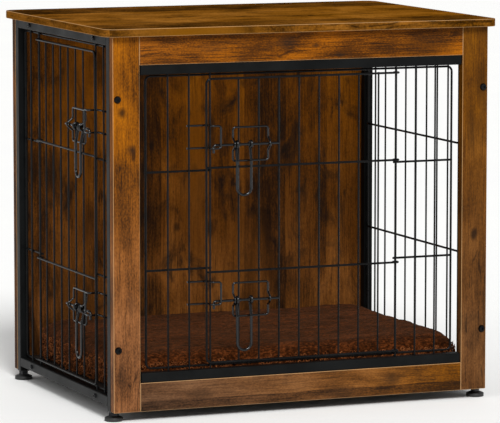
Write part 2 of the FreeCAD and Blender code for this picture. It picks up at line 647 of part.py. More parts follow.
halfBoltAndLatch = "(boltDiameter + latchWire) / 2"
boltOut = (f"({doorFineOut} + wireFine / 2 + handleBackGap + handleDiameter + handleClearance"
           " + boltDiameter / 2)")
keeperTurn = "(freeSideOffset + (wireHeavy + latchWire) / 2 + keeperDoorGap)"
keeperEnd = f"({keeperTurn} + keeperReach)"
keeperOut = f"({boltOut} + {halfBoltAndLatch} + keeperClearance)"
boltTip = f"({keeperTurn} + {halfBoltAndLatch} + tipClearance)"
handleGap = "((latchWire + handleDiameter) / 2 + handleSideGap)"
handleStart = f"(guideStart + {handleGap})"
handleEnd = f"({handleStart} + handleSpan)"
guideEnd = f"({handleEnd} + boltStroke + {handleGap})"
boltEnd = f"({guideEnd} + boltTail)"


def keeperRoute(panel):
    # a staple: both legs lie behind the upright wire, turn out beside the doorway's edge and
    # pass through the door to a front bar that the bolt hides behind
    behind = -mm("(wireFine + latchWire) / 2")
    bend = mm("latchBend")
    start, turn, end, out = mm("keeperStart"), mm(keeperTurn), mm(keeperEnd), mm(keeperOut)
    high, low = mm("keeperTop"), mm("keeperBottom")
    upperLeg = [(offset(panel, start, behind, high), 0), (offset(panel, turn, behind, high), bend),
                (offset(panel, turn, out, high), bend), (offset(panel, end, out, high), bend)]
    lowerLeg = [(offset(panel, end, out, low), bend), (offset(panel, turn, out, low), bend),
                (offset(panel, turn, behind, low), bend), (offset(panel, start, behind, low), 0)]
    return upperLeg + lowerLeg


def guideRoute(panel):
    # a rectangle welded on the front of the door's uprights; a hump in each side goes round the
    # front of the bolt
    out = mm(f"{doorFineOut} + (wireFine + latchWire) / 2")
    bend = mm("latchBend")
    footBend = mm("guideFootBend")
    radius = mm(f"{halfBoltAndLatch} + guideClearance")
    halfAngle = math.radians(mm("guideHumpAngle"))
    apexOut = mm(boltOut) + radius / math.sin(halfAngle)
    halfFoot = (apexOut - out) * math.tan(halfAngle)
    start, end, high, low = mm("guideStart"), mm(guideEnd), mm("guideTop"), mm("guideBottom")

    def hump(along, rising):
        feet = [(offset(panel, along, out, -halfFoot), footBend),
                (offset(panel, along, apexOut, 0), radius),
                (offset(panel, along, out, halfFoot), footBend)]
        return feet if rising else feet[::-1]

    return ([(offset(panel, start, out, high), bend), (offset(panel, end, out, high), bend)]
            + hump(end, False)
            + [(offset(panel, end, out, low), bend), (offset(panel, start, out, low), bend)]
            + hump(start, True))


def boltRoute(panel):
    out = mm(boltOut)
    tip, end = mm(boltTip), mm(boltEnd)
    return [(offset(panel, tip, out, -mm("boltHook")), 0), (offset(panel, tip, out, 0), mm("latchBend")),
            (offset(panel, end, out, 0), 0)]


def handleRoute(panel):
    # an eye round the bolt at each end: three quarters of a turn over the top, then down on the
    # door's side, slanting outwards to a knee and straight down to a round bottom
    radius = mm("(boltDiameter + handleDiameter) / 2 + handleClearance")
    out = mm(boltOut)
    slant = math.radians(mm("handleSlant"))
    hang = out + mm("handleLean")
    bottom = -mm("handleDrop")
    start, end = mm(handleStart), mm(handleEnd)

    def onCircle(along, degrees, distance):
        angle = math.radians(degrees) + slant
        return offset(panel, along, out + distance * math.cos(angle), distance * math.sin(angle))

    leaveOut = out - radius * math.cos(slant)
    kneeUp = -radius * math.sin(slant) - (hang - leaveOut) / math.tan(slant)

    def leg(along):
        return [(onCircle(along, -90, radius), 0),
                (onCircle(along, -45, radius * math.sqrt(2)), radius),
                (onCircle(along, 45, radius * math.sqrt(2)), radius),
                (onCircle(along, 135, radius * math.sqrt(2)), radius),
                (offset(panel, along, hang, kneeUp), mm("handleKnee")),
                (offset(panel, along, hang, bottom), (end - start) / 2)]

    return leg(start) + leg(end)[::-1]


def addStops(name, panel, base):
    # two swaged collars on the bolt, just inside the handle's eyes
    reach = mm("handleDiameter / 2 + stopGap")
    starts = (mm(handleStart) + reach, mm(handleEnd) - reach - mm("stopLength"))
    stops = []
    for index, start in enumerate(starts):
        stop = doc.addObject("Part::Cylinder", f"{name}Stop{index}")
        setSizes(stop, Radius="stopDiameter / 2", Height="stopLength")
        stop.Placement = FreeCAD.Placement(base + offset(panel, start, mm(boltOut), 0),
                                           Rotation(axes["z"], panels[panel]["along"]))
        stops.append(stop)
    return stops


for panel, keeperWire in keeperWires.items():
    high, low = doorMids[panel]
    latchHeights = {"upper": f"{high} + {panel}LatchHigh", "lower": f"{low} - {panel}LatchLow"}
    keepers = []
    for level, height in latchHeights.items():
        base = at(panel, mm(keeperWire), 0, mm(height))
        tag = f"{panel}{level.title()}"
        keepers.append(addBentWire(f"keeper{tag}", keeperRoute(panel), "latchWire", base))
        node(addBentWire(f"guide{tag}", guideRoute(panel), "latchWire", base, closed=True),
             f"{panel}_guide_{level}")
        rod = addBentWire(f"boltRod{tag}", boltRoute(panel), "boltDiameter", base)
        node(addFuse(f"bolt{tag}", [rod] + addStops(f"bolt{tag}", panel, base)), f"{panel}_bolt_{level}")
        node(addBentWire(f"handle{tag}", handleRoute(panel), "handleDiameter", base),
             f"{panel}_handle_{level}")
    node(addGroup(f"{panel}Keepers", keepers), f"{panel}_keepers")

# ---------------------------------------------------------------- feet

inserts = []
for side in sides:
    for end, place in legPlaces.items():
        tag = f"{side.title()}{end.title()}"
        centre = (fromSide(side, "tubeSize / 2", 0), f"{place} + tubeSize / 2")
        rim = addCylinder(f"padRim{tag}", "padDiameter", "padRim", (*centre, 0), "z")
        flare = doc.addObject("Part::Cone", f"padFlare{tag}")
        setSizes(flare, Radius1="padDiameter / 2", Radius2="padTopDiameter / 2", Height="padHeight - padRim")
        setBase(flare, (*centre, "padRim"))
        pad = addFuse(f"padBlank{tag}", [rim, flare])
        sharp = addFillet(f"pad{tag}", pad, "padRound",
                          lambda edge: edge.BoundBox.ZLength < 1e-6 and len(edge.Vertexes) == 1)
        node(sharp, f"foot_pad_{side}_{end}")
        nut = addPrism(f"footNut{tag}", "footNutFlats", "footNutHeight", (*centre, "padHeight"), "z")
        stud = addCylinder(f"footStud{tag}", "studDiameter", "studLength", (*centre, "padHeight"), "z")
        node(addFuse(f"foot{tag}", [nut, stud]), f"foot_stud_{side}_{end}")
        flange = addBox(f"insertFlange{tag}", ("tubeSize", "tubeSize", "insertFlange"),
                        (fromSide(side, 0, "tubeSize"), place, f"{footHeight} - insertFlange"))
        plugSize = "tubeSize - 2 * tubeWall"
        plug = addBox(f"insertPlug{tag}", (plugSize, plugSize, "insertHeight"),
                      (fromSide(side, "tubeWall", plugSize), f"{place} + tubeWall", footHeight))
        bore = addCylinder(f"insertBore{tag}", "studDiameter + insertClearance",
                           "insertHeight + insertFlange", (*centre, f"{footHeight} - insertFlange"), "z")
        inserts.append(addCut(f"insert{tag}", addFuse(f"insertBlank{tag}", [flange, plug]), [bore]))
node(addGroup("legInserts", inserts), "leg_inserts")

# ---------------------------------------------------------------- cushion

cushionSize = ("bodyWidth - 2 * (tubeSize + cushionSideGap)",
               "bodyDepth - 2 * boardThick - cushionFrontGap - cushionBackGap", "cushionThick")
cushionPlace = (fromSide("left", "tubeSize + cushionSideGap", 0),
                f"{frontFace} + boardThick + cushionFrontGap", floorTop)
cushionBox = addBox("cushionBox", cushionSize, cushionPlace)
cushionSides = addFillet("cushionSides", cushionBox, "cushionCorner", isParallel("z"))
cushionTopHeight = mm(f"{floorTop} + cushionThick")
cushionCrown = addFillet("cushionCrown", cushionSides, "cushionTopRound",
                         lambda edge: edge.BoundBox.ZMin > cushionTopHeight - 1e-6)
cushionFloorHeight = mm(floorTop)
node(addFillet("cushionSolid", cushionCrown, "cushionBottomRound",
               lambda edge: edge.BoundBox.ZMax < cushionFloorHeight + 1e-6), "cushion")

# ---------------------------------------------------------------- check and write

doc.recompute()
for obj in doc.Objects:
    if {"Invalid", "Error"} & set(obj.State):
        raise RuntimeError(f"{obj.Name} is {obj.State}")
for piece in nodes:
    if piece.Shape.isNull() or not piece.Shape.isValid():
        raise RuntimeError(f"{piece.Label} has no valid shape")
for piece in nodes:
    piece.Shape.exportStep(f"parts/{piece.Label}.step")
    print(piece.Label, len(piece.Shape.Solids), round(piece.Shape.Volume, 1))
print(len(nodes), "nodes")
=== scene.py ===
import bpy
import json
import math
import numpy as np
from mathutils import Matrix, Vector


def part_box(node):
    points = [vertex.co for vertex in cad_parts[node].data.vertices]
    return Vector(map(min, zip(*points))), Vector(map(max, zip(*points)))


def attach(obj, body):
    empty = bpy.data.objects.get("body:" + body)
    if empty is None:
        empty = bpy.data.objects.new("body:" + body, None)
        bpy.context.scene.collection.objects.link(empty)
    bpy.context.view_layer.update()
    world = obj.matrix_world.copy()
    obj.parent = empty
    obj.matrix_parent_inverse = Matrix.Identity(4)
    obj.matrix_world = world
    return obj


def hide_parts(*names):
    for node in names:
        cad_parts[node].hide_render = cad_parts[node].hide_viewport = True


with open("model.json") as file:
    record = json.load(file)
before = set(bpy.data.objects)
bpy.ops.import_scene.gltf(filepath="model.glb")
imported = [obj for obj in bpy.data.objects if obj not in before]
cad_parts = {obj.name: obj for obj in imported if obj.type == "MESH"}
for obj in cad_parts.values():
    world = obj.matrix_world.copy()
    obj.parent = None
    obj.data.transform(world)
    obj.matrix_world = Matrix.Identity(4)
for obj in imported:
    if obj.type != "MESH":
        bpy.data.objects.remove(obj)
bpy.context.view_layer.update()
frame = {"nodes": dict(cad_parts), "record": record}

# Dog crate end table: boards with a printed wood foil, black steel wire and tube, and a plush
# cushion with curly fleece sides. Metres, +Z up, the long wire front faces -Y.

nodes = frame["nodes"]
print("frame loaded:", len(nodes), "nodes")


def colour(hexText):  # sRGB hex to linear RGBA
    channels = [int(hexText[i:i + 2], 16) / 255 for i in (1, 3, 5)]
    linear = [c / 12.92 if c <= 0.04045 else ((c + 0.055) / 1.055) ** 2.4 for c in channels]
    return (*linear, 1)


def addNode(tree, kind, settings):
    # Each setting goes to a property of the node, or to a socket by its name or number. A socket
    # given as a setting is linked, and "stops" are a ramp's (position, hex colour or grey) pairs.
    made = tree.nodes.new("ShaderNode" + kind)
    for key, value in settings.items():
        if isinstance(value, bpy.types.NodeSocket):
            tree.links.new(value, made.inputs[key])
        elif key == "stops":
            elements = made.color_ramp.elements
            while len(elements) < len(value):
                elements.new(0.5)
            for element, (position, shade) in zip(elements, value):
                element.position = position
                element.color = colour(shade) if isinstance(shade, str) else (shade, shade, shade, 1)
        elif isinstance(key, int) or key in made.inputs:
            made.inputs[key].default_value = value
        else:
            setattr(made, key, value)
    return made


def startMaterial(name):  # an empty material, and the Object coordinates that patterns are built on
    material = bpy.data.materials.new(name)
    material.use_nodes = True
    tree = material.node_tree
    tree.nodes.clear()
    return material, tree, addNode(tree, "TexCoord", {}).outputs["Object"]


def finishMaterial(tree, settings):  # the shader, with its fixed values and its patterns
    shader = addNode(tree, "BsdfPrincipled", settings)
    addNode(tree, "OutputMaterial", {"Surface": shader.outputs[0]})


def per(millimetres):  # how many of this size go into a metre
    return 1000 / millimetres


# The foil's print and surface. A noise has its size in millimetres along and across the grain,
# then its detail, roughness and distortion. The real print's pores are about 0.3 mm wide: fibre
# and speckle are drawn at 1.6 to 2 mm, as coarse as they need to be to show in the picture.
# Stops are (value of the pattern, strength) pairs.
woodFoil = {
    "tones": [(0.18, "#160b03"), (0.36, "#3f2309"), (0.55, "#7c4915"), (0.78, "#aa6a26")],
    # the smudge colour also paints shadow in some marks, the warm colour paints pools of light, and the edge
    # colour is partly a painted highlight on the rounded edges
    "darkest": "#160b03", "smudgeAndShadow": "#1f140b", "knot": "#140a04", "paintedLightWarm": "#8c5417", "edge": "#c29a6c",
    "noises": {
        "wander": (240, 90, 2, 0.55, 0), "patch": (120, 46, 4, 0.5, 0.5), "streak": (64, 5, 4, 0.6, 0.1),
        "fibre": (60, 1.9, 3, 0.65, 0), "speckle": (3.4, 1.6, 2, 0.6, 0), "cloud": (70, 40, 6, 0.62, 0.7),
        "crack": (420, 46, 3, 0.5, 0.3)},
    "wanderReach": 0.008,
    "shares": {"patch": 0.66, "streak": 0.2, "fibre": 0.34, "speckle": 0.36, "plank": 0.2},
    "smudgeStops": [(0.52, 0), (0.68, 1)], "dashStops": [(0.57, 0), (0.66, 1)],
    "lineStops": [(0.35, 1), (0.47, 0)], "markStops": [(0.25, 1), (0.6, 0.62), (1, 0)],
    "crackStops": [(0, 1), (0.0035, 0.8), (0.008, 0)], "crackShown": [(0.5, 0), (0.58, 0.75)],
    # scattered spots: a cell's size along and across, the spot's radius in cells, the share left out
    "spots": [(150, 84, 0.075, 0.62), (21, 9, 0.11, 0.8)],
    "spotJitter": 0.9, "spotCore": 0.4, "spotStrength": 0.75, "spotRag": 0.1, "markRag": 1.6,
    # the stretch over which a board changes from its low to its high end, in greyness and in painted
    # light and shade, how patchy its greyness is, and how far the greyness takes the colour out
    "greyingAndPaintedShadingSpan": {"X": (-0.27, 0.27), "Z": (0.1, 0.5)}, "greyBase": 0.55, "greyPatches": 0.9,
    "richness": 1.08, "fading": -0.42,
    "endFacing": 0.7, "paleEdgeHighlightStops": [(0.9, 0.65), (0.985, 0)], "glossStops": [(0.3, 0.67), (0.7, 0.55)],
    "ior": 1.45, "shine": 0.1, "relief": 0.35, "fibreHeight": 0.00025, "streakRelief": 0.5,
}

# For each board: the axes that run along, across and through the grain, where its print starts,
# its brightness as painted light and shade, and its greyness, at the low and high end of the grain, its hue,
# how smudged it is, its plank width in millimetres, how strong its dashes and fine dark lines are, and its
# own marks as (along, across, half length, half width in millimetres, strength, negative for a warm patch of
# painted light).
boards = {
    "table_top": {
        "axes": "XYZ", "ends": "YXZ", "shift": (0.13, 0.41, 0), "coarse": 2.1, "shine": 0,
        "paintedShading": (0.9, 0.9), "grey": (0.2, 0.16), "hue": 0.507,
        "smudged": 0.4, "plank": 132, "dashed": 0.6, "lined": 0.22, "marks": [
            (-120, -20, 55, 9, 0.7), (-170, 60, 45, 7, 0.6), (30, 90, 60, 8, 0.5),
            # the last mark below is painted light on the left part of the front edge
            (180, -60, 40, 7, 0.5), (-40, -120, 50, 8, 0.45), (-190, -245, 150, 14, -0.6)]},
    "front_post_left": {
        "axes": "ZXY", "shift": (2.1, 0.32, 0.2), "paintedShading": (0.98, 1.04), "grey": (0.42, 0), "hue": 0.498,
        "smudged": 0.22, "plank": 400, "dashed": 0.08, "lined": 0.16, "marks": [
            (473, -297.5, 10, 8.5, 0.85), (416, -281, 11, 10, 0.85), (390, -300, 4, 4, 0.5),
            (180, -283, 24, 10, 0.35), (70, -300, 26, 10, 0.45)]},
    "front_post_right": {
        # painted shade: the whole post is made darker
        "axes": "ZXY", "shift": (3.7, 0.55, 0.6), "paintedShading": (0.46, 0.44), "grey": (0.35, 0.05), "hue": 0.502,
        "smudged": 0.4, "plank": 400, "dashed": 0.1, "lined": 0.2, "marks": [
            (262, 290, 12, 7, 0.8), (500, 303, 40, 12, 0.5), (430, 285, 45, 8, 0.4)]},
    "front_rail_top": {
        # painted light: the whole rail is made brighter
        "axes": "XZY", "shift": (5.2, 0.13, 0.9), "paintedShading": (1.5, 1.3), "grey": (0.12, 0), "hue": 0.496,
        "smudged": 0.45, "plank": 400, "dashed": 0.2, "lined": 0.62, "marks": [
            (-28, 572, 24, 16, 0.75), (20, 566, 7, 4, 0.7), (60, 550, 12, 5, 0.8),
            (-150, 566, 34, 10, 0.4), (205, 562, 55, 26, 0.5)]},
    "front_rail_bottom": {
        # painted shade: darker towards the left end
        "axes": "XZY", "shift": (6.3, 0.77, 0.4), "paintedShading": (0.4, 0.82), "grey": (0.6, 0.1), "hue": 0.502,
        "smudged": 0.4, "plank": 400, "dashed": 0.12, "lined": 0.2, "marks": [
            (150, 40, 20, 15, 0.6), (60, 25, 40, 12, 0.45), (-170, 36, 30, 10, 0.4)]},
    "back_panel": {
        # painted shade: darker towards the bottom
        "axes": "ZXY", "shift": (8.9, 0.21, 0.1), "paintedShading": (0.8, 1.1), "grey": (0.22, 0.05), "hue": 0.4985,
        "smudged": 0.9, "plank": 74, "dashed": 0.12, "lined": 0.35, "marks": [
            (372, -78, 11, 5, 0.85), (330, -2, 12, 8, 0.8), (230, 24, 18, 9, 0.8),
            (236, -34, 10, 8, 0.7), (250, -86, 20, 9, 0.55), (400, 26, 26, 10, 0.8),
            (330, -250, 40, 22, 0.7), (420, -196, 30, 14, 0.5), (250, -186, 40, 18, 0.5),
            # the warm patches are painted light, and the two large marks at the top are painted shadow under
            # the table top
            (420, -215, 170, 44, -0.55), (160, -215, 110, 50, -0.35), (330, 0, 190, 26, -0.6),
            (170, 90, 120, 60, -0.3), (575, -80, 130, 120, 0.97), (575, 130, 120, 160, 0.97)]},
}


def woodMaterial(name, board):
    # Particle board under a printed paper foil, pressed satin: soft clouds of tone, hair-fine
    # grain, knots, smudges and hairline cracks in the print, and the grain faintly in the gloss, with painted
    # light and shade along the board and in some marks, and a painted highlight on its edges.
    foil = woodFoil
    material, tree, place = startMaterial(name)
    axes = addNode(tree, "SeparateXYZ", {0: place}).outputs
    normal = addNode(tree, "NewGeometry", {}).outputs["True Normal"]
    facing = addNode(tree, "SeparateXYZ", {0: normal}).outputs
    steep = {axis: addNode(tree, "Math", {"operation": "ABSOLUTE", 0: facing[axis]}).outputs[0]
             for axis in "XYZ"}

    # the board's own place along, across and through the grain, and the print's
    ownPlace = addNode(tree, "CombineXYZ", dict(enumerate(axes[axis] for axis in board["axes"]))).outputs[0]
    grain = ownPlace
    if "ends" in board:  # the foil on the board's ends runs along them
        turned = addNode(tree, "CombineXYZ", dict(enumerate(axes[axis] for axis in board["ends"]))).outputs[0]
        isEnd = addNode(tree, "Math", {"operation": "GREATER_THAN", 0: steep["X"],
                                       1: foil["endFacing"]}).outputs[0]
        grain = addNode(tree, "Mix", {"data_type": "VECTOR", 0: isEnd, 4: ownPlace, 5: turned}).outputs[1]
    grain = addNode(tree, "VectorMath", {"operation": "ADD", 0: grain, 1: board["shift"]}).outputs[0]

    def cells(along, across):  # how many cells of this size in millimetres go into a metre, by axis
        acrossCells = per(across * board.get("coarse", 1))
        return (per(along), acrossCells, acrossCells)

    pattern = {}
    bent = grain
    for key, (along, across, detail, roughness, distortion) in foil["noises"].items():
        scaled = addNode(tree, "VectorMath", {"operation": "MULTIPLY", 0: bent,
                                              1: cells(along, across)}).outputs[0]
        pattern[key] = addNode(tree, "TexNoise", {
            "Vector": scaled, "Scale": 1, "Detail": detail, "Roughness": roughness,
            "Distortion": distortion}).outputs[0]
        if key == "wander":  # the first noise bends the grain sideways for all the others
            reach = foil["wanderReach"]
            sideways = addNode(tree, "Math", {"operation": "MULTIPLY_ADD", 0: pattern[key], 1: reach,
                                              2: -reach / 2}).outputs[0]
            shift = addNode(tree, "CombineXYZ", {"Y": sideways}).outputs[0]
            bent = addNode(tree, "VectorMath", {"operation": "ADD", 0: grain, 1: shift}).outputs[0]

    # planks: each whole number across the grain gets a random tone
    across = addNode(tree, "SeparateXYZ", {0: bent}).outputs["Y"]
    counted = addNode(tree, "Math", {"operation": "MULTIPLY", 0: across, 1: per(board["plank"])}).outputs[0]
    plank = addNode(tree, "Math", {"operation": "FLOOR", 0: counted}).outputs[0]
    pattern["plank"] = addNode(tree, "TexWhiteNoise", {"noise_dimensions": "1D", "W": plank}).outputs[0]

    # tone: a half, plus each pattern's share of how far it is from a half
    tone = 0.5 - sum(foil["shares"].values()) / 2
    for key, share in foil["shares"].items():
        tone = addNode(tree, "Math", {"operation": "MULTIPLY_ADD", 0: pattern[key], 1: share,
                                      2: tone}).outputs[0]
    shade = addNode(tree, "ValToRGB", {0: tone, "stops": foil["tones"]}).outputs[0]

    # what lies over the tones, from the first layer to the last, as an amount and a colour:
    # smoky smudges, short dark dashes along the grain, and fine dark lines
    layers = []
    for key, stops, strength, over in (("cloud", foil["smudgeStops"], board["smudged"], "smudgeAndShadow"),
                                       ("streak", foil["dashStops"], board["dashed"], "darkest"),
                                       ("fibre", foil["lineStops"], board["lined"], "darkest")):
        scaled = [(position, amount * strength) for position, amount in stops]
        layers.append((addNode(tree, "ValToRGB", {0: pattern[key], "stops": scaled}).outputs[0], over))

    # hairline cracks: contour lines of a long noise, where the clouds let them show
    offset = addNode(tree, "Math", {"operation": "SUBTRACT", 0: pattern["crack"], 1: 0.5}).outputs[0]
    ridge = addNode(tree, "Math", {"operation": "ABSOLUTE", 0: offset}).outputs[0]
    line = addNode(tree, "ValToRGB", {0: ridge, "stops": foil["crackStops"]}).outputs[0]
    shown = addNode(tree, "ValToRGB", {0: pattern["cloud"], "stops": foil["crackShown"]}).outputs[0]
    layers.append((addNode(tree, "Math", {"operation": "MULTIPLY", 0: line, 1: shown}).outputs[0], "knot"))

    # scattered knots and flecks: round spots in some cells only, with ragged edges
    rag = foil["spotRag"]
    ragged = addNode(tree, "Math", {"operation": "MULTIPLY_ADD", 0: pattern["fibre"], 1: rag,
                                    2: -rag / 2}).outputs[0]
    for along, across, radius, leftOut in foil["spots"]:
        scaled = addNode(tree, "VectorMath", {"operation": "MULTIPLY", 0: bent,
                                              1: cells(along, across)}).outputs[0]
        cell = addNode(tree, "TexVoronoi", {"feature": "F1", "Vector": scaled, "Scale": 1,
                                            "Randomness": foil["spotJitter"]}).outputs
        chance = addNode(tree, "SeparateColor", {0: cell["Color"]}).outputs[0]
        chosen = addNode(tree, "Math", {"operation": "GREATER_THAN", 0: chance, 1: leftOut}).outputs[0]
        away = addNode(tree, "Math", {"operation": "ADD", 0: cell["Distance"], 1: ragged}).outputs[0]
        stops = [(radius * foil["spotCore"], foil["spotStrength"]), (radius, 0)]
        spot = addNode(tree, "ValToRGB", {0: away, "stops": stops}).outputs[0]
        amount = addNode(tree, "Math", {"operation": "MULTIPLY", 0: spot, 1: chosen}).outputs[0]
        layers.append((amount, "knot"))

    # the board's own marks: an ellipse with a soft, ragged edge and a stronger heart; dark ones are smudges
    # and painted shadow, warm ones are painted light
    rag = foil["markRag"]
    ragged = addNode(tree, "Math", {"operation": "MULTIPLY_ADD", 0: pattern["cloud"], 1: rag,
                                    2: -rag / 2}).outputs[0]
    for along, sideways, halfLength, halfWidth, strength in board["marks"]:
        middle = (along / 1000, sideways / 1000, 0)
        away = addNode(tree, "VectorMath", {"operation": "SUBTRACT", 0: ownPlace, 1: middle}).outputs[0]
        away = addNode(tree, "VectorMath", {"operation": "MULTIPLY", 0: away,
                                            1: (per(halfLength), per(halfWidth), 0)}).outputs[0]
        distance = addNode(tree, "VectorMath", {"operation": "LENGTH", 0: away}).outputs[1]
        distance = addNode(tree, "Math", {"operation": "ADD", 0: distance, 1: ragged}).outputs[0]
        scaled = [(position, amount * abs(strength)) for position, amount in foil["markStops"]]
        amount = addNode(tree, "ValToRGB", {0: distance, "stops": scaled}).outputs[0]
        layers.append((amount, "smudgeAndShadow" if strength > 0 else "paintedLightWarm"))

    for amount, over in layers:
        shade = addNode(tree, "Mix", {"data_type": "RGBA", 0: amount, 6: shade,
                                      7: colour(foil[over])}).outputs[2]

    # greyer, and brighter or darker with painted light and shade, from one end to the other
    alongAxis = board["axes"][0]
    lowEnd, highEnd = foil["greyingAndPaintedShadingSpan"][alongAxis]
    grey, paintedShading = (
        addNode(tree, "MapRange", {0: axes[alongAxis], 1: lowEnd, 2: highEnd, 3: low, 4: high}).outputs[0]
        for low, high in (board["grey"], board["paintedShading"]))
    patchy = addNode(tree, "Math", {"operation": "MULTIPLY_ADD", 0: pattern["patch"],
                                    1: foil["greyPatches"], 2: foil["greyBase"]}).outputs[0]
    grey = addNode(tree, "Math", {"operation": "MULTIPLY", 0: grey, 1: patchy}).outputs[0]
    saturation = addNode(tree, "Math", {"operation": "MULTIPLY_ADD", 0: grey, 1: foil["fading"],
                                        2: foil["richness"]}).outputs[0]
    shade = addNode(tree, "HueSaturation", {"Hue": board["hue"], "Saturation": saturation, "Value": paintedShading,
                                            "Color": shade}).outputs[0]

    # where the surface faces along no axis, on the rounded edges, the foil is paler and a painted highlight
    # is laid on it
    if "ends" in board:  # this board's corners are round in plan, so only the slope counts
        squared = addNode(tree, "Math", {"operation": "POWER", 0: steep["Z"], 1: 2}).outputs[0]
        rest = addNode(tree, "Math", {"operation": "SUBTRACT", 0: 1, 1: squared}).outputs[0]
        level = addNode(tree, "Math", {"operation": "SQRT", 0: rest}).outputs[0]
    else:
        level = addNode(tree, "Math", {"operation": "MAXIMUM", 0: steep["X"], 1: steep["Y"]}).outputs[0]
    flat = addNode(tree, "Math", {"operation": "MAXIMUM", 0: steep["Z"], 1: level}).outputs[0]
    edgePaleAndHighlight = addNode(tree, "ValToRGB", {0: flat, "stops": foil["paleEdgeHighlightStops"]}).outputs[0]
    shade = addNode(tree, "Mix", {"data_type": "RGBA", 0: edgePaleAndHighlight, 6: shade,
                                  7: colour(foil["edge"])}).outputs[2]

    roughness = addNode(tree, "ValToRGB", {0: pattern["cloud"], "stops": foil["glossStops"]}).outputs[0]
    height = addNode(tree, "Math", {"operation": "MULTIPLY_ADD", 0: pattern["streak"],
                                    1: foil["streakRelief"], 2: pattern["fibre"]}).outputs[0]
    relief = addNode(tree, "Bump", {"Strength": foil["relief"], "Distance": foil["fibreHeight"],
                                    "Height": height}).outputs[0]
    finishMaterial(tree, {"IOR": foil["ior"], "Specular IOR Level": board.get("shine", foil["shine"]),
                          "Base Color": shade, "Roughness": roughness, "Normal": relief})
    return material


# What coats the metal and plastic: two close shades, the roughness, IOR and shine, and the size of
# the grain in millimetres with its height in metres. The real grains are 0.1 to 0.6 mm, and are
# drawn at 0.8 to 3.5 mm, as coarse as they need to be to show.
coats = {
    # square tube in baked polyester powder coat: satin black with a faint orange peel
    "tubePowderCoat": {"colour": "#0b0c0c", "worn": "#131414", "rough": 0.4, "ior": 1.5, "shine": 0.07,
                       "grain": 1.4, "height": 0.00012},
    # the same powder on drawn wire, where it flows out smoother
    "wirePowderCoat": {"colour": "#0a0a0a", "worn": "#131313", "rough": 0.28, "ior": 1.5, "shine": 0.1,
                       "grain": 1.2, "height": 0.0001},
    # dipped vinyl on the bent latch wires, glossy enough for small glints
    "latchDipCoat": {"colour": "#050505", "worn": "#0c0c0c", "rough": 0.09, "ior": 1.52, "shine": 0.36,
                     "grain": 2.2, "height": 0.00006},
    # steel screws blackened in a salt bath: dark metal with a dull glint
    "blackOxideScrew": {"colour": "#141415", "worn": "#262627", "rough": 0.26, "ior": 1.5, "metal": 1,
                        "grain": 0.9, "height": 0.00005},
    # turned studs in black zinc plating, a little paler and rubbed
    "blackZincStud": {"colour": "#2c2c2e", "worn": "#4a4a4b", "rough": 0.33, "ior": 1.5, "metal": 1,
                      "grain": 1.5, "height": 0.00005},
    # moulded nylon: matt, with the mould's fine spark texture
    "mouldedNylonFoot": {"colour": "#131313", "worn": "#1f1f1f", "rough": 0.5, "ior": 1.53,
                         "grain": 0.8, "height": 0.00008},
    "mouldedInsert": {"colour": "#161616", "worn": "#212121", "rough": 0.55, "ior": 1.5,
                      "grain": 0.8, "height": 0.00006},
    # the floor board's plain dark paper foil: matt, with a soft pressed texture
    "darkFoilFloor": {"colour": "#1b1612", "worn": "#2b231c", "rough": 0.6, "ior": 1.48,
                      "grain": 3.5, "height": 0.0001},
    # beech dowels turned and left raw: pale and matt
    "turnedBeech": {"colour": "#b98a5b", "worn": "#cda476", "rough": 0.6, "ior": 1.45,
                    "grain": 2, "height": 0.0002},
}
coatLook = {"cloud": 42, "cloudShare": 0.7, "shadeFrom": 0.38, "shadeTo": 0.66, "relief": 0.4,
            "glossFrom": (0.3, -0.05), "glossTo": (0.7, 0.07), "plainShine": 0.5}


def coatMaterial(name, coat):
    # two close shades in cloudy patches, a fine grain in the surface, and gloss that varies a little
    look = coatLook
    material, tree, place = startMaterial(name)
    cloud, grit = (
        addNode(tree, "TexNoise", {"Vector": place, "Scale": per(size), "Detail": detail,
                                   "Roughness": roughness}).outputs[0]
        for size, detail, roughness in ((look["cloud"], 3, 0.55), (coat["grain"], 2, 0.5)))
    mixed = addNode(tree, "Math", {"operation": "MULTIPLY", 0: grit, 1: 1 - look["cloudShare"]}).outputs[0]
    mixed = addNode(tree, "Math", {"operation": "MULTIPLY_ADD", 0: cloud, 1: look["cloudShare"],
                                   2: mixed}).outputs[0]
    stops = [(look["shadeFrom"], coat["colour"]), (look["shadeTo"], coat["worn"])]
    shade = addNode(tree, "ValToRGB", {0: mixed, "stops": stops}).outputs[0]
    stops = [(position, coat["rough"] + change) for position, change in (look["glossFrom"], look["glossTo"])]
    roughness = addNode(tree, "ValToRGB", {0: cloud, "stops": stops}).outputs[0]
    relief = addNode(tree, "Bump", {"Strength": look["relief"], "Distance": coat["height"],
                                    "Height": grit}).outputs[0]
    finishMaterial(tree, {"IOR": coat["ior"], "Metallic": coat.get("metal", 0),
                          "Specular IOR Level": coat.get("shine", look["plainShine"]),
                          "Base Color": shade, "Roughness": roughness, "Normal": relief})
    return material


slotCoats = {
    "tube_steel": "tubePowderCoat", "bracket_steel": "tubePowderCoat", "wire_steel": "wirePowderCoat",
    "latch_steel": "latchDipCoat", "screw_steel": "blackOxideScrew", "stud_steel": "blackZincStud",
    "foot_plastic": "mouldedNylonFoot", "insert_plastic": "mouldedInsert", "floor_board": "darkFoilFloor",
    "dowel_wood": "turnedBeech",
}

nodeSlots = {part["node"]: part["material_slot"] for part in frame["record"]["subparts"]}
coatMaterials = {name: coatMaterial(name, coat) for name, coat in coats.items()}
for name, obj in nodes.items():
    if name in boards:
        finish = woodMaterial(f"printedFoilBoard_{name}", boards[name])
    elif nodeSlots[name] in slotCoats:
        finish = coatMaterials[slotCoats[nodeSlots[name]]]
    else:
        continue
    obj.data.materials.clear()
    obj.data.materials.append(finish)
print("boards and metal finished")

